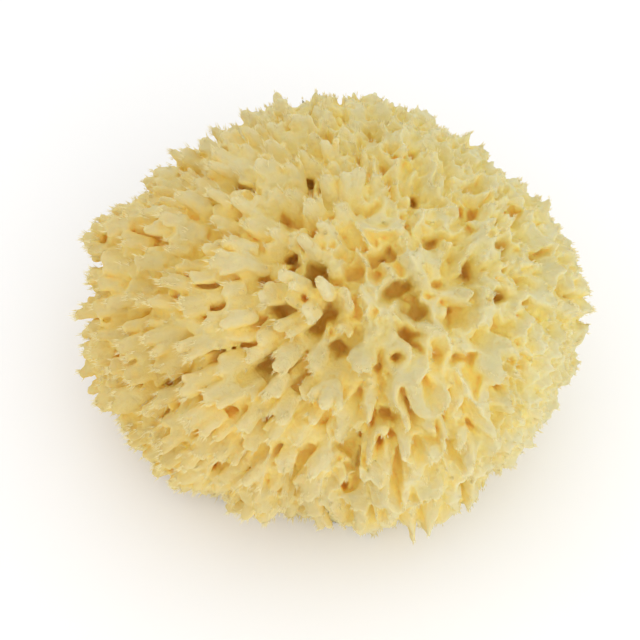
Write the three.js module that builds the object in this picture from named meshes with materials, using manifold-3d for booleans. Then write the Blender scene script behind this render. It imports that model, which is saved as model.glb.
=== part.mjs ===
// A natural sea sponge, as sold for the bath: one soft fibrous skeleton that grew as a single piece
// and was cut off flat where it was rooted. It is a bun-shaped body, shaggy all round with blunt tufts,
// with a few wide water outlets sunk into its crown. Millimetres, +Z up, and the origin is the middle of
// the cut base.
import * as THREE from "three";
import { mergeVertices } from "three/addons/utils/BufferGeometryUtils.js";
import Module from "manifold-3d";

// Overall size, measured over the tips of the tufts
const WIDTH = 140;
const DEPTH = 122;
const HEIGHT = 88;

// Side profile: the widest girth lies above the cut base, and the body rolls under below it
const WAIST_HEIGHT = 36;
const UNDERSIDE_DROP = 49;
const CROWN_FULLNESS = 2.3;
const UNDERSIDE_FULLNESS = 2.0;

// The crown sits a little to the right of the base and behind it
const CROWN_LEAN = new THREE.Vector2(6, 5);

// The girth isn't a plain oval: each wave is the number of bulges round it, their share of the radius and
// the direction of the first bulge in degrees from +X
const GIRTH_WAVES = [
  { bulges: 2, share: 0.026, towards: -84 },
  { bulges: 3, share: 0.021, towards: -115 },
  { bulges: 4, share: 0.011, towards: 13 },
  { bulges: 5, share: 0.016, towards: 46 },
  { bulges: 6, share: 0.01, towards: -37 },
];

// Blunt tufts, spread evenly over the whole body
const TUFT_COUNT = 330;
const TUFT_HEIGHT = 5.5;
const TUFT_JITTER = 0.35;

// Water outlets on the crown: where each one opens, seen from above, and its size
const OUTLETS = [
  { x: -2, y: 6, mouth: 12, depth: 12 },
  { x: 15, y: 8, mouth: 13, depth: 13 },
  { x: 23, y: -3, mouth: 15, depth: 14 },
  { x: -7, y: 30, mouth: 10, depth: 9 },
  { x: 41, y: 14, mouth: 10, depth: 9 },
  { x: 34, y: -24, mouth: 10, depth: 9 },
];

// Fineness of the surface: splits along each edge of the starting icosahedron
const SURFACE_SPLITS = 17;

const SPONGE_COLOUR = 0xe3cf8c;

const wasm = await Module();
wasm.setup();

// A repeatable number from 0 to 1 for each whole number
function scatter(index) {
  const wave = Math.sin(index * 127.1 + 311.7) * 43758.5453;
  return wave - Math.floor(wave);
}

// Directions of the tufts: a sunflower spiral over the unit sphere, each shifted a little from its place
function tuftDirections() {
  const goldenAngle = Math.PI * (3 - Math.sqrt(5));
  const spacing = Math.sqrt((4 * Math.PI) / TUFT_COUNT);
  return Array.from({ length: TUFT_COUNT }, (_, index) => {
    const z = 1 - (2 * (index + 0.5)) / TUFT_COUNT;
    const ring = Math.sqrt(1 - z * z);
    const turn = index * goldenAngle;
    const shift = new THREE.Vector3(
      scatter(3 * index) - 0.5,
      scatter(3 * index + 1) - 0.5,
      scatter(3 * index + 2) - 0.5,
    ).multiplyScalar(2 * TUFT_JITTER * spacing);
    return new THREE.Vector3(ring * Math.cos(turn), ring * Math.sin(turn), z)
      .add(shift)
      .normalize();
  });
}

// Radius of the widest girth in a direction round the body
function girthRadius(angle) {
  const oval = Math.hypot((2 * Math.cos(angle)) / WIDTH, (2 * Math.sin(angle)) / DEPTH);
  const bulge = GIRTH_WAVES.reduce(
    (sum, wave) =>
      sum + wave.share * Math.cos(wave.bulges * angle - THREE.MathUtils.degToRad(wave.towards)),
    1,
  );
  return bulge / oval;
}

// The point of the smooth outer form, over the tips of the tufts, that lies in a unit direction
function outerPoint(direction) {
  const above = direction.z > 0;
  const fullness = above ? CROWN_FULLNESS : UNDERSIDE_FULLNESS;
  const rise = Math.abs(direction.z) ** (2 / fullness);
  const spread = Math.hypot(direction.x, direction.y) ** (2 / fullness);
  const angle = Math.atan2(direction.y, direction.x);
  const radius = girthRadius(angle) * spread;
  const lean = above ? rise : 0;
  return new THREE.Vector3(
    radius * Math.cos(angle) + lean * CROWN_LEAN.x,
    radius * Math.sin(angle) + lean * CROWN_LEAN.y,
    WAIST_HEIGHT + (above ? rise * (HEIGHT - WAIST_HEIGHT) : -rise * UNDERSIDE_DROP),
  );
}

// How far a direction lies below the tuft tips: nothing on a tuft, the full height between tufts
function grooveDepth(direction, tufts) {
  const spacing = Math.sqrt((4 * Math.PI) / TUFT_COUNT);
  const nearest = Math.max(...tufts.map((tuft) => tuft.dot(direction)));
  const away = Math.acos(Math.min(1, nearest)) / spacing;
  return TUFT_HEIGHT * THREE.MathUtils.smoothstep(away, 0.05, 0.75);
}

// How far the crown is sunk at a point by the water outlets
function outletDepth(point) {
  if (point.z < WAIST_HEIGHT) return 0;
  return OUTLETS.reduce((deepest, outlet) => {
    const away = Math.hypot(point.x - outlet.x, point.y - outlet.y) / (outlet.mouth / 2);
    return Math.max(deepest, outlet.depth * (1 - THREE.MathUtils.smoothstep(away, 0.2, 1.2)));
  }, 0);
}

// The whole tufted body, still round underneath
function tuftedBody() {
  const geometry = new THREE.IcosahedronGeometry(1, SURFACE_SPLITS);
  geometry.deleteAttribute("normal");
  geometry.deleteAttribute("uv");
  const surface = mergeVertices(geometry, 1e-5);
  const places = surface.getAttribute("position");
  const middle = new THREE.Vector3(0, 0, WAIST_HEIGHT);
  const tufts = tuftDirections();
  const direction = new THREE.Vector3();
  for (let index = 0; index < places.count; index += 1) {
    direction.fromBufferAttribute(places, index).normalize();
    const point = outerPoint(direction);
    const inward = middle.clone().sub(point).normalize();
    const sunk = Math.max(grooveDepth(direction, tufts), outletDepth(point));
    point.addScaledVector(inward, sunk);
    places.setXYZ(index, point.x, point.y, point.z);
  }
  return surface;
}

function solidFrom(geometry) {
  return new wasm.Manifold(
    new wasm.Mesh({
      numProp: 3,
      vertProperties: new Float32Array(geometry.getAttribute("position").array),
      triVerts: new Uint32Array(geometry.index.array),
    }),
  );
}

// The body cut off flat at its root
function cutBody() {
  const below = new THREE.BoxGeometry(2 * WIDTH, 2 * DEPTH, HEIGHT).translate(0, 0, -HEIGHT / 2);
  below.deleteAttribute("normal");
  below.deleteAttribute("uv");
  const cut = solidFrom(tuftedBody()).subtract(solidFrom(mergeVertices(below)));
  const mesh = cut.getMesh();
  return new THREE.BufferGeometry()
    .setAttribute("position", new THREE.BufferAttribute(new Float32Array(mesh.vertProperties), 3))
    .setIndex(new THREE.BufferAttribute(new Uint32Array(mesh.triVerts), 1));
}

// The finished body, brought to the overall size with its base centred on the origin
function spongeGeometry() {
  const geometry = cutBody();
  geometry.computeBoundingBox();
  const size = geometry.boundingBox.getSize(new THREE.Vector3());
  const centre = geometry.boundingBox.getCenter(new THREE.Vector3());
  geometry.translate(-centre.x, -centre.y, 0);
  geometry.scale(WIDTH / size.x, DEPTH / size.y, HEIGHT / size.z);
  geometry.computeVertexNormals();
  return geometry;
}

const sponge = new THREE.Mesh(
  spongeGeometry(),
  new THREE.MeshStandardMaterial({ color: SPONGE_COLOUR, roughness: 0.95, metalness: 0 }),
);
sponge.name = "sponge";

const part = new THREE.Group();
part.add(sponge);

export default part;
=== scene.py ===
import math
import random

import bmesh
import bpy
import numpy as np
from mathutils import Matrix, Vector, noise
from mathutils.bvhtree import BVHTree
from mathutils.kdtree import KDTree


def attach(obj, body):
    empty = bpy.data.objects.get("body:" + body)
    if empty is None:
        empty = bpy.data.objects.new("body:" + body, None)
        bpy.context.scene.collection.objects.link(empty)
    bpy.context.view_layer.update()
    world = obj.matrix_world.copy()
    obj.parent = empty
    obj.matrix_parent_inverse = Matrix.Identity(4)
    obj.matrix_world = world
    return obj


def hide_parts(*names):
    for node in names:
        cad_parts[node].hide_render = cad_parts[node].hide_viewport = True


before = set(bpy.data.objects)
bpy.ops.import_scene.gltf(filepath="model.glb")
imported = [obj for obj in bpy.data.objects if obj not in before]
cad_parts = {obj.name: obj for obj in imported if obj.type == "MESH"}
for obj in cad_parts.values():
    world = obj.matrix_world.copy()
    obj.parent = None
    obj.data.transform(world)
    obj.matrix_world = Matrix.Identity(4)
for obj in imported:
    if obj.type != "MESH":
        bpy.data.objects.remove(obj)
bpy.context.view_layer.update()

# View
# The photograph looks down on the sponge from the front, from about arm's length, through a lens that is
# a little longer than normal. Its picture is square.
MM = 0.001
PHOTO_SIDE = 640
LENS = 85
SENSOR = 36
CAMERA_ELEVATION = math.radians(58)
CAMERA_DISTANCE = 420 * MM
CAMERA_AIM = Vector((-4.2, -1.8, 36)) * MM

camera_data = bpy.data.cameras.new("view")
camera_data.lens = LENS
camera_data.sensor_width = SENSOR
camera_data.clip_start = 10 * MM
camera = bpy.data.objects.new("view", camera_data)
camera_back = Vector((0, -math.cos(CAMERA_ELEVATION), math.sin(CAMERA_ELEVATION)))
camera.matrix_world = Matrix.LocRotScale(
    CAMERA_AIM + camera_back * CAMERA_DISTANCE, camera_back.to_track_quat("Z", "Y"), None
)
bpy.context.scene.collection.objects.link(camera)
bpy.context.scene.camera = camera


def sight_line(pixel):
    """Where a pixel's line of sight starts and which way it goes."""
    across = (pixel[0] - PHOTO_SIDE / 2) * SENSOR / LENS / PHOTO_SIDE
    up = (PHOTO_SIDE / 2 - pixel[1]) * SENSOR / LENS / PHOTO_SIDE
    way = camera.matrix_world.to_3x3() @ Vector((across, up, -1))
    return camera.matrix_world.translation, way.normalized()


# Sponge body
# The whole sponge is one springy skeleton of horny fibre, cleaned, bleached to a pale yellow and cut flat
# at its root. Tufts stand all over it: they run together into ridges and fray into points at their ends,
# and they lie back from the crown down the sides. Water outlets open as deep hollows between them.
SPONGE_NODE = "sponge"
MIDDLE_HEIGHT = 36 * MM
CORE_SPLITS = 7
CORE_SMOOTHING = 60
SOLID_GROOVES = 2.7 * MM
CROWN_STARTS = (0.45, 0.65)
CORE_BELOW_SOLID = 4.6 * MM
ROOT_BAND = 14 * MM

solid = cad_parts[SPONGE_NODE]
middle = Vector((0, 0, MIDDLE_HEIGHT))
solid_tree = BVHTree.FromPolygons(
    [v.co for v in solid.data.vertices], [p.vertices for p in solid.data.polygons]
)
outer = bmesh.new()
for vert in solid.data.vertices:
    outer.verts.new(vert.co)
bmesh.ops.convex_hull(outer, input=outer.verts)
outer_tree = BVHTree.FromBMesh(outer)
outer.free()


def smooth_step(value, start, end):
    """0 at start, 1 at end, and an even slope between."""
    share = min(1.0, max(0.0, (value - start) / (end - start)))
    return share * share * (3 - 2 * share)


# The smooth core under the tufts, cast onto the CAD solid and sunk below it
core = bmesh.new()
bmesh.ops.create_icosphere(core, subdivisions=CORE_SPLITS, radius=1)
for vert in core.verts:
    way = vert.co.normalized()
    on_solid = solid_tree.ray_cast(middle, way)[0]
    over_tips = outer_tree.ray_cast(middle, way)[0] - way * SOLID_GROOVES
    vert.co = on_solid.lerp(over_tips, smooth_step(way.z, *CROWN_STARTS))
for _ in range(CORE_SMOOTHING):
    bmesh.ops.smooth_vert(
        core, verts=core.verts, factor=0.5, use_axis_x=True, use_axis_y=True, use_axis_z=True
    )
core.normal_update()
for vert, normal in [(v, v.normal.copy()) for v in core.verts]:
    vert.co -= normal * CORE_BELOW_SOLID * smooth_step(vert.co.z, 0, ROOT_BAND)

# Hollows in the outline as the camera sees it: direction and half width in degrees, depth in millimetres
RIM_HOLLOWS = [(122, 11, 5.0), (145, 7, 4.0), (172, 12, 3.5), (237, 8, 4.5), (262, 10, 8.0), (290, 8, -2.5)]
RIM_RADIUS = 60 * MM
RIM_FADES = 0.5 * RIM_RADIUS
camera_across, camera_up = [camera.matrix_world.to_3x3().col[axis] for axis in (0, 1)]
for vert in core.verts:
    seen = vert.co - CAMERA_AIM
    across = seen.dot(camera_across)
    up = seen.dot(camera_up)
    radius = math.hypot(across, up)
    for angle, reach, deep in RIM_HOLLOWS:
        turn = math.degrees(math.atan2(up, across)) - angle
        turn = (turn + 180) % 360 - 180
        share = (1 - smooth_step(abs(turn), 0, 2 * reach)) * smooth_step(radius, RIM_FADES, RIM_RADIUS)
        vert.co -= (camera_across * across + camera_up * up) / radius * share * deep * MM

# The fibre grows out from the crown: in blunt lobes on the left, in folds in front, as lace elsewhere
CROWN_PIXEL = (392, 268)
CROWN_REACH = (8 * MM, 38 * MM)
LOBES_TOWARDS = math.radians(185)
LOBES_SECTOR = (0.25, 0.6)
FOLDS_TOWARDS = math.radians(-85)
FOLDS_SECTOR = (0.70, 0.92)
LEAN_ON_CROWN = 0.1
LEAN_ON_SIDES = 0.95
LACE_UPRIGHT = 0.5
LEAN_FROM_ROOT = 25 * MM
TANGLE_SIZE = 9 * MM
TANGLE_ON_CROWN = 0.75
TANGLE_ON_SIDES = 0.45

draw = random.Random(11)
noise.seed_set(2)
core_tree = BVHTree.FromBMesh(core)
crown = core_tree.ray_cast(*sight_line(CROWN_PIXEL))[0]


def blend(one, other, share):
    """A value between two, at this share of the way."""
    return one + (other - one) * share


class Growth:
    """How the fibre grows at a place of the core: which way it lies, and in lobes, in folds or as lace."""

    def __init__(self, place, normal):
        away = place - crown
        heading = math.atan2(away.y, away.x)
        side = smooth_step(away.length, *CROWN_REACH)
        self.side = side
        self.flow = (away - normal * away.dot(normal)).normalized()
        self.folds = side * smooth_step(math.cos(heading - FOLDS_TOWARDS), *FOLDS_SECTOR)
        self.lobes = side * smooth_step(math.cos(heading - LOBES_TOWARDS), *LOBES_SECTOR) * (1 - self.folds)
        self.lace = (1 - self.lobes) * (1 - self.folds)
        lean = blend(LEAN_ON_CROWN, LEAN_ON_SIDES, side * (1 - LACE_UPRIGHT * self.lace))
        lean *= smooth_step(place.z, 0, LEAN_FROM_ROOT)
        tangle = blend(TANGLE_ON_CROWN, TANGLE_ON_SIDES, side)
        self.way = normal + self.flow * lean + noise.noise_vector(place / TANGLE_SIZE) * tangle


class Spread:
    """Points that keep their distance from each other."""

    def __init__(self, widest):
        self.cell = widest
        self.kept = {}

    def takes(self, place, spacing):
        """True, and the place is kept, if no kept place is nearer than the spacing."""
        cell = [int(math.floor(c / self.cell)) for c in place]
        for x in (-1, 0, 1):
            for y in (-1, 0, 1):
                for z in (-1, 0, 1):
                    for other in self.kept.get((cell[0] + x, cell[1] + y, cell[2] + z), ()):
                        if (other - place).length < spacing:
                            return False
        self.kept.setdefault(tuple(cell), []).append(place.copy())
        return True


# Water outlets as the photo shows them: the pixel across and down, and the radius of the mouth in millimetres
OUTLETS = [
    (319, 278, 4.0), (268, 279, 3.4), (291, 268, 4.0), (382, 263, 3.0), (414, 306, 3.8), (396, 293, 4.4),
    (293, 232, 3.0), (286, 318, 3.6), (304, 185, 2.8), (249, 199, 3.0), (341, 242, 2.6), (464, 223, 3.6),
    (505, 216, 3.6), (410, 163, 3.0), (371, 141, 2.6), (414, 204, 3.2), (431, 248, 2.6), (495, 255, 2.8),
    (528, 258, 2.8), (490, 299, 2.8), (526, 312, 2.6), (463, 280, 2.8), (454, 320, 2.8), (409, 342, 3.0),
    (466, 367, 3.4), (476, 381, 3.0), (513, 361, 2.6), (462, 424, 2.8), (383, 370, 3.2), (359, 400, 3.0),
    (298, 392, 2.8), (386, 418, 4.0), (355, 452, 4.4), (347, 477, 4.6), (431, 446, 3.0), (341, 350, 3.6),
    (328, 320, 3.6), (273, 360, 3.6), (322, 421, 2.6), (188, 370, 2.8), (205, 345, 2.6), (183, 285, 2.8),
    (153, 318, 2.8), (207, 258, 2.6), (326, 198, 2.8), (283, 183, 2.8), (168, 226, 2.8), (232, 441, 2.6),
]
OUTLET_DEEP = 0.36 / MM
OUTLET_DEEPEST = 6.0 * MM
OUTLET_EDGE = 0.6
OUTLET_NEAR = 16 * MM
OUTLET_RAGGED = 2.2

# Pits between the tufts: an outlet opens over one, and smaller ones are scattered between the outlets
PIT_SPACING = 5.6 * MM
LACE_SPACING = 4.4 * MM
CROWN_SPACING = 7.5 * MM
PIT_KEPT = 0.75
PIT_TRIES = 14000
PIT_MOUTHS = (0.22, 0.42)
PIT_ABOVE_ROOT = 4 * MM
TUFT_TALL = 6.0 * MM

pits = []
outlet_lines = []
pit_spread = Spread(CROWN_SPACING)
for across, down, mouth in OUTLETS:
    start, sight = sight_line((across, down))
    place, normal = core_tree.ray_cast(start, sight)[:2]
    way = Growth(place, normal).way
    foot = core_tree.find_nearest(place - (way - normal * way.dot(normal)) * TUFT_TALL * 0.5)[0]
    pit_spread.takes(foot, 0)
    pits.append((foot, mouth * MM))
    outlet_lines.append((start, sight, (place - start).length, mouth * MM))
core.normal_update()
core_verts = list(core.verts)
for _ in range(PIT_TRIES):
    vert = draw.choice(core_verts)
    growth = Growth(vert.co, vert.normal)
    spacing = blend(PIT_SPACING, LACE_SPACING, growth.lace)
    spacing = blend(CROWN_SPACING, spacing, growth.side)
    if vert.co.z > PIT_ABOVE_ROOT and pit_spread.takes(vert.co, spacing) and draw.random() < PIT_KEPT:
        pits.append((vert.co.copy(), spacing * draw.uniform(*PIT_MOUTHS)))
pit_tree = KDTree(len(pits))
for index, pit in enumerate(pits):
    pit_tree.insert(pit[0], index)
pit_tree.balance()

# Waves that bend the pits out of round: their size and their reach in millimetres
BENDS = [(2.6, 1.4), (6.5, 1.8)]
PITS_NEAR = 5
PIT_RIM = (0.45, 1.1)
PIT_DENT = 1.4 * MM
ROOT_FADES = (1 * MM, 8 * MM)
# How far each kind of growth is drawn out along its flow
LOBES_DRAWN = 0.5
FOLDS_DRAWN = 0.72
LACE_DRAWN = 0.3
# Ropes of fibre run along the walls between pits: half the width of top and foot in millimetres
ROPE_IN_TUFTS = (1.0, 3.3)
ROPE_IN_LACE = (0.9, 2.2)
ROPE_ON_CROWN = (1.3, 2.7)
MEETING_REACH = 1.6 * MM
# Solid patches fill some of the lace
FILL_SIZE = 5.5 * MM
FILL_FROM = Vector((3, 8, 4))
FILL_LOW_ON_CROWN = -0.1
FILL_HIGH = 0.3
FILL_TALL = 0.95
# Shares of the tuft's height that the ground, the ropes and their meeting points add
GROUND_SHARE = 0.2
ROPE_SHARE = 0.72
MEETING_SHARE = 0.10
CLUMP_SIZE = 11 * MM
CLUMP_FROM = Vector((1, 5, 2))
CLUMP_GAIN = 0.55
LACE_SHORTER = 0.28
# Furrows split the ropes, and longer grooves part the folds
FURROW_SIZE = 3.9 * MM
FURROW_LONG = (0.6, 3.5)
FURROW_GAIN = 0.9
FURROW_EDGE = (0.05, 0.4)
FURROW_IN_LACE = 0.7
FURROW_IN_LOBES = 0.6
FURROW_IN_FOLDS = 0.5
GROOVE_SIZE = 4.4 * MM
GROOVE_LONG = 7 * MM
GROOVE_EDGE = (0.02, 0.17)
GROOVE_SHARE = 0.8
GROOVE_DEEP = 1.0 * MM
# Thin ridges cross the lace
RIDGE_SIZE = 2.8 * MM
RIDGE_FROM = Vector((4, 9, 1))
RIDGE_SHARP = 3.2
RIDGE_LEVEL = 0.45
RIDGE_TALL = 2.0 * MM
# Lumps and strands roughen everything, the lobes and the folds least
LUMP_SIZE = 3.2 * MM
LUMP_FROM = Vector((7, 3, 5))
LUMP_TALL = 1.6
STRAND_SIZE = 1.6 * MM
STRAND_LONG = (0.5, 2.0)
STRAND_TALL = 1.2
ROUGH_GROUND = 0.4
ROUGH_ROPES = 0.6
ROUGH_LACE = 1.2
SMOOTHER_LOBES = 0.5
SMOOTHER_FOLDS = 0.4


def streaked(place, flow, lattice, reach):
    """Noise drawn out along the flow."""
    steps = (-1, -0.5, 0, 0.5, 1)
    total = 0
    for step in steps:
        total += noise.noise((place + flow * step * reach) / lattice)
    return total / len(steps)


def tuft_height(place, bent, growth):
    """How far the fibre stands out of the core at a place, with the bent place for what follows the pits."""
    flow = growth.flow
    crowning = 1 - growth.side
    drawn = LOBES_DRAWN * growth.lobes + FOLDS_DRAWN * growth.folds + LACE_DRAWN * growth.lace * growth.side

    nearest = []
    for where, index, _ in pit_tree.find_n(bent, PITS_NEAR):
        apart = bent - where
        apart -= flow * apart.dot(flow) * drawn
        nearest.append((apart.length, apart.length / pits[index][1]))
    nearest.sort()
    pit = 1 - smooth_step(nearest[0][1], *PIT_RIM)

    rope_top, rope_foot = [
        blend(blend(in_tufts, in_lace, growth.lace), on_crown, crowning) * MM
        for in_tufts, in_lace, on_crown in zip(ROPE_IN_TUFTS, ROPE_IN_LACE, ROPE_ON_CROWN)
    ]
    rope = 1 - smooth_step((nearest[1][0] - nearest[0][0]) / 2, rope_top, rope_foot)
    meeting = 1 - smooth_step((nearest[2][0] - nearest[0][0]) / 2, 0, MEETING_REACH)
    fill = noise.noise(bent / FILL_SIZE + FILL_FROM)
    filled = smooth_step(fill, FILL_LOW_ON_CROWN * crowning, FILL_HIGH) * (1 - pit)
    mass = max(rope, FILL_TALL * filled * growth.lace)
    clump = 1 + CLUMP_GAIN * noise.noise(place / CLUMP_SIZE + CLUMP_FROM)
    tall = TUFT_TALL * clump * (1 - LACE_SHORTER * growth.lace * growth.side)
    height = tall * (GROUND_SHARE * (1 - pit) + ROPE_SHARE * mass + MEETING_SHARE * meeting)

    furrow_long = (FURROW_LONG[0] + FURROW_LONG[1] * drawn) * MM
    furrow = streaked(bent, flow, FURROW_SIZE, furrow_long) * (1 + FURROW_GAIN * drawn)
    split = FURROW_IN_LACE * growth.lace + FURROW_IN_LOBES * growth.lobes + FURROW_IN_FOLDS * growth.folds
    height *= 1 - split * smooth_step(-furrow, *FURROW_EDGE)
    groove = smooth_step(-streaked(bent, flow, GROOVE_SIZE, GROOVE_LONG), *GROOVE_EDGE) * growth.folds
    height -= groove * (GROOVE_SHARE * max(height, 0) + GROOVE_DEEP)
    ridge = 1 - min(1, RIDGE_SHARP * abs(noise.noise(bent / RIDGE_SIZE + RIDGE_FROM)))
    height += growth.lace * (1 - pit) * (ridge - RIDGE_LEVEL) * RIDGE_TALL

    lump = noise.noise(place / LUMP_SIZE + LUMP_FROM)
    strand = streaked(place, flow, STRAND_SIZE, (STRAND_LONG[0] + STRAND_LONG[1] * drawn) * MM)
    rough = ROUGH_LACE - SMOOTHER_LOBES * growth.lobes - SMOOTHER_FOLDS * growth.folds
    rough *= (1 - pit) * (ROUGH_GROUND + ROUGH_ROPES * mass)
    height += rough * (LUMP_TALL * lump + STRAND_TALL * strand) * MM - PIT_DENT * pit
    return height * smooth_step(place.z, *ROOT_FADES)


bmesh.ops.subdivide_edges(core, edges=core.edges, cuts=1, use_grid_fill=True)
core.normal_update()
moves = []
warps = []
for vert in core.verts:
    growth = Growth(vert.co, vert.normal)
    bent = vert.co.copy()
    for size, reach in BENDS:
        bent += noise.noise_vector(vert.co / (size * MM)) * reach * MM
    moves.append((vert, tuft_height(vert.co, bent, growth), growth))
    warps.append((bent - vert.co) * OUTLET_RAGGED)
for vert, height, growth in moves:
    vert.co += growth.way * height

# The outlets are pushed in along the lines of sight, with ragged rims
grown = np.array([v.co for v in core.verts])
warped = grown + np.array(warps)
in_outlet = np.zeros(len(grown), dtype=bool)
for start, sight, far, mouth in outlet_lines:
    apart = warped - np.array(start)
    along = apart @ np.array(sight)
    off = np.linalg.norm(apart - along[:, None] * np.array(sight), axis=1) / mouth
    sunk = np.clip((1.0 - off) / OUTLET_EDGE, 0, 1) * (np.abs(along - far) < OUTLET_NEAR)
    deep = min(OUTLET_DEEP * mouth * mouth, OUTLET_DEEPEST)
    grown += (sunk * sunk * (3 - 2 * sunk) * deep)[:, None] * np.array(sight)
    in_outlet |= sunk > 0
for vert, place in zip(core.verts, grown):
    vert.co = place
core.verts.index_update()

# Blunt lobes stand on the tufts of the left side. Their shapes are in millimetres.
LOBE_KINDS = 24
LOBE_WIDE = (2.8, 4.2)
LOBE_THICK = (3.0, 4.0)
LOBE_LONG = (2.8, 5.2)
LOBE_BLUNT = 0.8
LOBE_ROOT = 2.5
LOBE_TILT = 0.15
SIDE_LOBE_MISSING = 0.35
SIDE_LOBE_SHIFT = 0.5
SIDE_LOBE_APART = (0.3, 0.5)
SIDE_LOBE_LEAN = (0.05, 0.4)
SIDE_LOBE_TWIST = 0.3
SIDE_LOBE_WIDE = (0.45, 0.7)
SIDE_LOBE_THICK = (0.7, 0.9)
SIDE_LOBE_LONG = (0.5, 0.95)


def add_lobe(tuft, place, wide, thick, long):
    """A blunt lobe that stands on the tuft's foot, with its rounded end at its full length."""
    bmesh.ops.create_cone(
        tuft,
        cap_ends=True,
        segments=8,
        radius1=0.5,
        radius2=0.5 * LOBE_BLUNT,
        depth=long + LOBE_ROOT,
        matrix=place
        @ Matrix.Translation((0, 0, (long - LOBE_ROOT) / 2))
        @ Matrix.Diagonal((thick, wide, 1, 1)),
    )
    bmesh.ops.create_icosphere(
        tuft,
        subdivisions=2,
        radius=0.5 * LOBE_BLUNT,
        matrix=place @ Matrix.Translation((0, 0, long)) @ Matrix.Diagonal((thick, wide, thick, 1)),
    )


def tilted(sideways, forwards):
    """A turn that leans a lobe by these angles."""
    return Matrix.Rotation(sideways, 4, "X") @ Matrix.Rotation(forwards, 4, "Y")


def lobe_shape():
    """A tuft as vertices and faces: a blunt lobe with smaller ones beside it on one foot."""
    tuft = bmesh.new()
    wide = draw.uniform(*LOBE_WIDE)
    thick = draw.uniform(*LOBE_THICK)
    long = draw.uniform(*LOBE_LONG)
    add_lobe(tuft, tilted(draw.uniform(-LOBE_TILT, LOBE_TILT), 0), wide, thick, long)
    for side in (-1, 1):
        if draw.random() < SIDE_LOBE_MISSING:
            continue
        shift = draw.uniform(-SIDE_LOBE_SHIFT, SIDE_LOBE_SHIFT)
        place = Matrix.Translation((shift, side * wide * draw.uniform(*SIDE_LOBE_APART), 0))
        lean = -side * draw.uniform(*SIDE_LOBE_LEAN)
        place = place @ tilted(lean, draw.uniform(-SIDE_LOBE_TWIST, SIDE_LOBE_TWIST))
        add_lobe(
            tuft,
            place,
            wide * draw.uniform(*SIDE_LOBE_WIDE),
            thick * draw.uniform(*SIDE_LOBE_THICK),
            long * draw.uniform(*SIDE_LOBE_LONG),
        )
    tuft.verts.index_update()
    made = (
        np.array([v.co for v in tuft.verts]),
        [[v.index for v in f.verts] for f in tuft.faces],
    )
    tuft.free()
    return made


LOBE_SPACING = 5.7 * MM
LOBE_FLOOR = 3.0 * MM
LOBE_STARTS = (0.05, 0.4)
LOBE_SIZE = (0.9, 1.35)
LOBE_LIES_BACK = 0.55
LOBE_STRAYS = 0.22

lobe_shapes = [lobe_shape() for _ in range(LOBE_KINDS)]
vertices = [np.array([v.co for v in core.verts])]
faces = [[v.index for v in f.verts] for f in core.faces]
count = len(vertices[0])
lobe_spread = Spread(LOBE_SPACING)
draw.shuffle(moves)
for vert, height, growth in moves:
    if height < LOBE_FLOOR or in_outlet[vert.index]:
        continue
    if draw.random() > smooth_step(growth.lobes, *LOBE_STARTS):
        continue
    if not lobe_spread.takes(vert.co, LOBE_SPACING):
        continue
    stray = Vector([draw.uniform(-LOBE_STRAYS, LOBE_STRAYS) for _ in range(3)])
    up = (growth.way.normalized() + growth.flow * LOBE_LIES_BACK * growth.lobes + stray).normalized()
    along = (growth.flow - up * growth.flow.dot(up)).normalized()
    size = draw.uniform(*LOBE_SIZE) * MM
    shape, shape_faces = draw.choice(lobe_shapes)
    vertices.append(shape @ (np.array([along, up.cross(along), up]) * size) + np.array(vert.co))
    faces.extend([[i + count for i in f] for f in shape_faces])
    count += len(shape)

tufted = bpy.data.meshes.new("tufted")
tufted.from_pydata(np.concatenate(vertices).tolist(), [], faces)
core.free()


def clouds(name, size):
    """Soft noise with lumps of this size."""
    texture = bpy.data.textures.new(name, "CLOUDS")
    texture.noise_scale = size
    texture.noise_depth = 1
    return texture


def finished(mesh, name, *settings):
    """The mesh with modifiers applied, each given as its kind and its values."""
    carrier = bpy.data.objects.new(name, mesh)
    bpy.context.scene.collection.objects.link(carrier)
    for kind, values in settings:
        modifier = carrier.modifiers.new(kind, kind)
        for key, value in values.items():
            setattr(modifier, key, value)
    graph = bpy.context.evaluated_depsgraph_get()
    made = bpy.data.meshes.new_from_object(carrier.evaluated_get(graph))
    made.name = name
    bpy.data.objects.remove(carrier)
    bpy.data.meshes.remove(mesh)
    return made


# Core and lobes become one skin, softened and then roughened, and flat where the sponge was cut
SKIN_VOXEL = 0.42 * MM
skin = finished(
    tufted,
    "skin",
    ("REMESH", {"mode": "VOXEL", "voxel_size": SKIN_VOXEL}),
    ("SMOOTH", {"factor": 0.5, "iterations": 6}),
    ("DISPLACE", {"texture": clouds("lumps", 2.2 * MM), "texture_coords": "LOCAL", "strength": 0.6 * MM}),
    ("DISPLACE", {"texture": clouds("grain", 0.9 * MM), "texture_coords": "LOCAL", "strength": 0.3 * MM}),
)
places = np.empty(len(skin.vertices) * 3)
skin.vertices.foreach_get("co", places)
places = places.reshape(-1, 3)
places[:, 2] = np.maximum(places[:, 2], 0)

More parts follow.
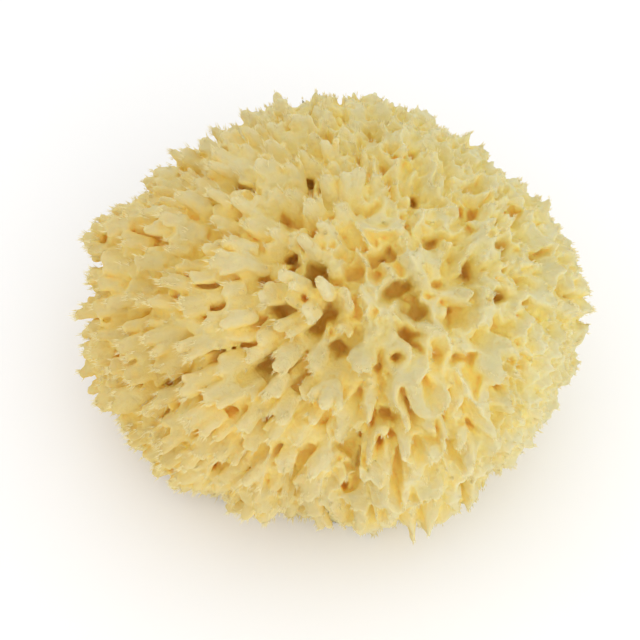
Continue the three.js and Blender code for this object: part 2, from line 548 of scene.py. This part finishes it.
# The cut at the root opens the channels that run through the sponge
CUT_FLAT = 0.02 * MM
CUT_PORE_TRIES = 500
CUT_PORE_SPACING = 5.0 * MM
CUT_PORE_MOUTHS = (1.0, 2.8)
CUT_PORE_DEEP = 0.9
CUT_PORE_EDGE = 0.8
CUT_PORE_WAVE = 2.4 * MM
CUT_PORE_RAGGED = 1.6 * MM
on_cut = np.where(places[:, 2] < CUT_FLAT)[0]
cut = places[on_cut]
ragged = np.array([noise.noise_vector(Vector(place) / CUT_PORE_WAVE) for place in cut])
rims = cut + ragged * CUT_PORE_RAGGED
cut_depth = np.zeros(len(cut))
pore_spread = Spread(CUT_PORE_SPACING)
for _ in range(CUT_PORE_TRIES):
    centre = Vector(cut[draw.randrange(len(cut))])
    mouth = draw.uniform(*CUT_PORE_MOUTHS) * MM
    if not pore_spread.takes(centre, CUT_PORE_SPACING):
        continue
    off = np.linalg.norm((rims - np.array(centre))[:, :2], axis=1) / mouth
    sunk = np.clip((1 - off) / CUT_PORE_EDGE, 0, 1)
    cut_depth = np.maximum(cut_depth, sunk * sunk * (3 - 2 * sunk) * CUT_PORE_DEEP * mouth)
places[on_cut, 2] += cut_depth
skin.vertices.foreach_set("co", places.ravel())

# Bubbles closed in under the tufts never show, so only the skin that holds together with the crown is kept
connected = bmesh.new()
connected.from_mesh(skin)
reached = set()
waiting = [max(connected.verts, key=lambda vert: vert.co.z)]
while waiting:
    vert = waiting.pop()
    if vert not in reached:
        reached.add(vert)
        waiting.extend(edge.other_vert(vert) for edge in vert.link_edges)
bubbles = [vert for vert in connected.verts if vert not in reached]
bmesh.ops.delete(connected, geom=bubbles, context="VERTS")
connected.to_mesh(skin)
connected.free()

SKIN_TRIANGLES = 196000
skin = finished(
    skin, "sponge_body", ("DECIMATE", {"ratio": SKIN_TRIANGLES / (2 * len(skin.polygons))})
)
skin.polygons.foreach_set("use_smooth", [True] * len(skin.polygons))
body = bpy.data.objects.new("sponge_body", skin)
bpy.context.scene.collection.objects.link(body)

# How far each point stands open to the light: the share of rays out of it that get clear of the tufts
OPEN_RAYS = 16
OPEN_REACH = 9 * MM
OPEN_START = 0.2 * MM
GOLDEN_ANGLE = math.pi * (3 - math.sqrt(5))
skin_tree = BVHTree.FromPolygons([v.co for v in skin.vertices], [p.vertices for p in skin.polygons])
ray_ways = []
for index in range(OPEN_RAYS):
    height = 1 - (index + 0.5) / OPEN_RAYS
    ring = math.sqrt(1 - height * height)
    turn = index * GOLDEN_ANGLE
    ray_ways.append(Vector((ring * math.cos(turn), ring * math.sin(turn), height)))
openness = []
for vert in skin.vertices:
    turn = vert.normal.to_track_quat("Z", "Y").to_matrix()
    start = vert.co + vert.normal * OPEN_START
    clear = 0.0
    for way in ray_ways:
        hit = skin_tree.ray_cast(start, turn @ way, OPEN_REACH)
        clear += 1.0 if hit[0] is None else 0.5 * hit[3] / OPEN_REACH
    openness.append(clear / OPEN_RAYS)
open_layer = skin.attributes.new("openness", "FLOAT", "POINT")
open_layer.data.foreach_set("value", openness)

# Painted shade and glow by openness: the hollows that the tufts shade are painted a deep reddish gold, strong
# in red to stand in for light scattered through the fibre; gold between; pale cream on the open tips
HOLLOW_SHADE_COLOURS = [(0.08, (0.98, 0.57, 0.125)), (0.4, (0.89, 0.69, 0.185)), (0.95, (0.66, 0.58, 0.315))]
# Patches that took the bleach less or more
PATCH_COLOURS = [(0.3, (0.93, 0.90, 0.80)), (0.7, (1.04, 1.04, 1.06))]
PATCH_SCALE = 70
# Painted light and shade across the sponge: it turns from a pale, lit tone towards the right and the top to a
# darker, golden shade towards the left and the lower front, along this direction, between these distances
GOLDEN_WAY = (-0.9, -0.3, -0.3)
GOLDEN_RANGE = (-60 * MM, 50 * MM)
SIDE_LIGHT_AND_SHADE_COLOURS = [(0, (0.96, 1.02, 1.14)), (0.62, (1, 0.985, 0.98)), (1, (0.98, 0.89, 0.67))]
# The fine weave of the fibres
WEAVE_SCALE = 1100
WEAVE_DEEP = 0.35 * MM

material = bpy.data.materials.new("sponge fibre")
material.use_nodes = True
nodes = material.node_tree.nodes
links = material.node_tree.links


def colour_ramp(stops):
    """A ramp through these colours, each given with its position."""
    ramp = nodes.new("ShaderNodeValToRGB")
    first, *between, last = stops
    for element, (position, colour) in zip(ramp.color_ramp.elements, (first, last)):
        element.position = position
        element.color = (*colour, 1)
    for position, colour in between:
        ramp.color_ramp.elements.new(position).color = (*colour, 1)
    return ramp


def multiplied(one, other):
    """The product of two colours."""
    product = nodes.new("ShaderNodeMix")
    product.data_type = "RGBA"
    product.blend_type = "MULTIPLY"
    product.inputs["Factor"].default_value = 1
    links.new(one, product.inputs["A"])
    links.new(other, product.inputs["B"])
    return product.outputs["Result"]


place_node = nodes.new("ShaderNodeTexCoord")
# The openness drives the painted shade and glow of the hollows
depth = nodes.new("ShaderNodeAttribute")
depth.attribute_name = "openness"
painted_hollow_shade = colour_ramp(HOLLOW_SHADE_COLOURS)
links.new(depth.outputs["Fac"], painted_hollow_shade.inputs["Fac"])

patches = nodes.new("ShaderNodeTexNoise")
patches.inputs["Scale"].default_value = PATCH_SCALE
patches.inputs["Detail"].default_value = 2
by_patch = colour_ramp(PATCH_COLOURS)
links.new(place_node.outputs["Object"], patches.inputs["Vector"])
links.new(patches.outputs["Fac"], by_patch.inputs["Fac"])

# The painted light and shade across the sponge, by position along that direction
golden_way = nodes.new("ShaderNodeVectorMath")
golden_way.operation = "DOT_PRODUCT"
golden_way.inputs[1].default_value = GOLDEN_WAY
across_body = nodes.new("ShaderNodeMapRange")
across_body.inputs["From Min"].default_value = GOLDEN_RANGE[0]
across_body.inputs["From Max"].default_value = GOLDEN_RANGE[1]
painted_side_light_and_shade = colour_ramp(SIDE_LIGHT_AND_SHADE_COLOURS)
links.new(place_node.outputs["Object"], golden_way.inputs[0])
links.new(golden_way.outputs["Value"], across_body.inputs["Value"])
links.new(across_body.outputs["Result"], painted_side_light_and_shade.inputs["Fac"])

weave = nodes.new("ShaderNodeTexNoise")
weave.inputs["Scale"].default_value = WEAVE_SCALE
weave.inputs["Detail"].default_value = 3
weave.inputs["Roughness"].default_value = 0.65
bump = nodes.new("ShaderNodeBump")
bump.inputs["Strength"].default_value = 1.0
bump.inputs["Distance"].default_value = WEAVE_DEEP
links.new(place_node.outputs["Object"], weave.inputs["Vector"])
links.new(weave.outputs["Fac"], bump.inputs["Height"])

shader = nodes["Principled BSDF"]
shader.inputs["Roughness"].default_value = 1.0
shader.inputs["Subsurface Weight"].default_value = 0.7
shader.inputs["Subsurface Radius"].default_value = (1.0, 0.75, 0.45)
shader.inputs["Subsurface Scale"].default_value = 2.2 * MM
shader.inputs["Specular IOR Level"].default_value = 0.05
# The painted hollow shade and glow, times the bleach patches
patched = multiplied(painted_hollow_shade.outputs["Color"], by_patch.outputs["Color"])
# The painted light and shade across the sponge multiplies into the base colour
links.new(multiplied(patched, painted_side_light_and_shade.outputs["Color"]), shader.inputs["Base Color"])
links.new(bump.outputs["Normal"], shader.inputs["Normal"])
skin.materials.append(material)
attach(body, "root")
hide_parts(SPONGE_NODE)

# Frayed ends
# Loose fibres stand out of the tufts where the skeleton is worn or was trimmed. They are the same fibre as
# the body and grow out of it.
FRAY_COUNT = 20000
FRAY_TUFT = 4
FRAY_LONG = (0.8, 2.3)
FRAY_SHORTER_OFF_LOBES = 0.55
FRAY_THICK = (0.09, 0.18)
FRAY_ROOT = 0.4
FRAY_OPEN = 0.6
FRAY_ABOVE_ROOT = 3 * MM
FRAY_SHARPER_THAN = 84
FRAY_FACING = 0.2
FRAY_ALONG = 0.9
FRAY_OUT = 0.4
FRAY_STRAYS = 0.35
FRAY_APART = 0.4
FRAY_COLOUR = (0.80, 0.70, 0.38, 1)

# They stand on the sharpest points of the skin that lie open
skin_places = np.empty(len(skin.vertices) * 3)
skin.vertices.foreach_get("co", skin_places)
skin_places = skin_places.reshape(-1, 3)
skin_normals = np.empty(len(skin.vertices) * 3)
skin.vertex_normals.foreach_get("vector", skin_normals)
skin_normals = skin_normals.reshape(-1, 3)
edge_ends = np.empty(len(skin.edges) * 2, dtype=np.int64)
skin.edges.foreach_get("vertices", edge_ends)
edge_ends = edge_ends.reshape(-1, 2)
neighbours = np.zeros(len(skin_places))
around = np.zeros_like(skin_places)
for one, other in ((0, 1), (1, 0)):
    np.add.at(neighbours, edge_ends[:, one], 1)
    np.add.at(around, edge_ends[:, one], skin_places[edge_ends[:, other]])
around /= np.maximum(neighbours, 1)[:, None]
bulge = ((skin_places - around) * skin_normals).sum(axis=1)
open_ends = (np.array(openness) > FRAY_OPEN) & (skin_places[:, 2] > FRAY_ABOVE_ROOT)
sharp = np.where((bulge > np.percentile(bulge, FRAY_SHARPER_THAN)) & open_ends)[0].tolist()

spike = bmesh.new()
bmesh.ops.create_cone(spike, cap_ends=True, segments=3, radius1=1, radius2=0, depth=1)
bmesh.ops.translate(spike, vec=(0, 0, FRAY_ROOT), verts=spike.verts)
bmesh.ops.remove_doubles(spike, verts=spike.verts, dist=0.001)
spike.verts.index_update()
spike_points = np.array([v.co for v in spike.verts])
spike_faces = np.array([[v.index for v in f.verts] for f in spike.faces if len(f.verts) == 3])
spike.free()

fray_points = []
while len(fray_points) < FRAY_COUNT:
    host = draw.choice(sharp)
    on_core = core_tree.find_nearest(Vector(skin_places[host]))
    growth = Growth(on_core[0], on_core[1])
    end = growth.way.normalized()
    facing = Vector(skin_normals[host])
    if facing.dot(end) < FRAY_FACING:
        continue
    for _ in range(FRAY_TUFT):
        stray = Vector([draw.uniform(-FRAY_STRAYS, FRAY_STRAYS) for _ in range(3)])
        way = end * FRAY_ALONG + facing * FRAY_OUT + stray
        turn = np.array(way.to_track_quat("Z", "Y").to_matrix().transposed())
        thick = draw.uniform(*FRAY_THICK) * MM
        long = draw.uniform(*FRAY_LONG) * MM * blend(FRAY_SHORTER_OFF_LOBES, 1, growth.lobes)
        foot = skin_places[host] + [draw.uniform(-FRAY_APART, FRAY_APART) * MM for _ in range(3)]
        fray_points.append((spike_points * (thick, thick, long)) @ turn + foot)
fray_faces = (
    np.arange(FRAY_COUNT)[:, None, None] * len(spike_points) + spike_faces[None, :, :]
).reshape(-1, 3)
fray_mesh = bpy.data.meshes.new("frayed_ends")
fray_mesh.from_pydata(np.concatenate(fray_points).tolist(), [], fray_faces.tolist())
fray_material = bpy.data.materials.new("frayed fibre")
fray_material.use_nodes = True
fray_shader = fray_material.node_tree.nodes["Principled BSDF"]
fray_shader.inputs["Base Color"].default_value = FRAY_COLOUR
fray_shader.inputs["Roughness"].default_value = 1.0
fray_shader.inputs["Specular IOR Level"].default_value = 0.05
fray_mesh.materials.append(fray_material)
frayed = bpy.data.objects.new("frayed_ends", fray_mesh)
bpy.context.scene.collection.objects.link(frayed)
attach(frayed, "root")

# Floor and light
# The sponge lies on a plain pale floor in a bright white studio. One large soft lamp stands in front of it
# and to the right.
FLOOR_HALF = 3
FLOOR_COLOUR = (0.97, 0.97, 0.97, 1)
STUDIO_COLOUR = (1, 1, 1, 1)
STUDIO_BRIGHTNESS = 1.03
LAMP_PLACE = Vector((0.3, -0.65, 0.5))
LAMP_AIM = Vector((0, 0, 0.03))
LAMP_SIZE = 0.8
LAMP_POWER = 1.6

floor_mesh = bpy.data.meshes.new("floor")
floor_bm = bmesh.new()
bmesh.ops.create_grid(floor_bm, x_segments=1, y_segments=1, size=FLOOR_HALF)
floor_bm.to_mesh(floor_mesh)
floor_bm.free()
floor = bpy.data.objects.new("floor", floor_mesh)
bpy.context.scene.collection.objects.link(floor)
floor_material = bpy.data.materials.new("floor")
floor_material.use_nodes = True
floor_shader = floor_material.node_tree.nodes["Principled BSDF"]
floor_shader.inputs["Base Color"].default_value = FLOOR_COLOUR
floor_shader.inputs["Roughness"].default_value = 0.8
floor_mesh.materials.append(floor_material)

world = bpy.data.worlds.new("studio")
bpy.context.scene.world = world
world.use_nodes = True
world.node_tree.nodes["Background"].inputs["Color"].default_value = STUDIO_COLOUR
world.node_tree.nodes["Background"].inputs["Strength"].default_value = STUDIO_BRIGHTNESS

lamp_data = bpy.data.lights.new("key", "AREA")
lamp_data.energy = LAMP_POWER
lamp_data.size = LAMP_SIZE
lamp = bpy.data.objects.new("key", lamp_data)
bpy.context.scene.collection.objects.link(lamp)
lamp.location = LAMP_PLACE
lamp.rotation_euler = (LAMP_AIM - LAMP_PLACE).to_track_quat("-Z", "Y").to_euler()
bpy.context.scene.view_settings.view_transform = "Standard"
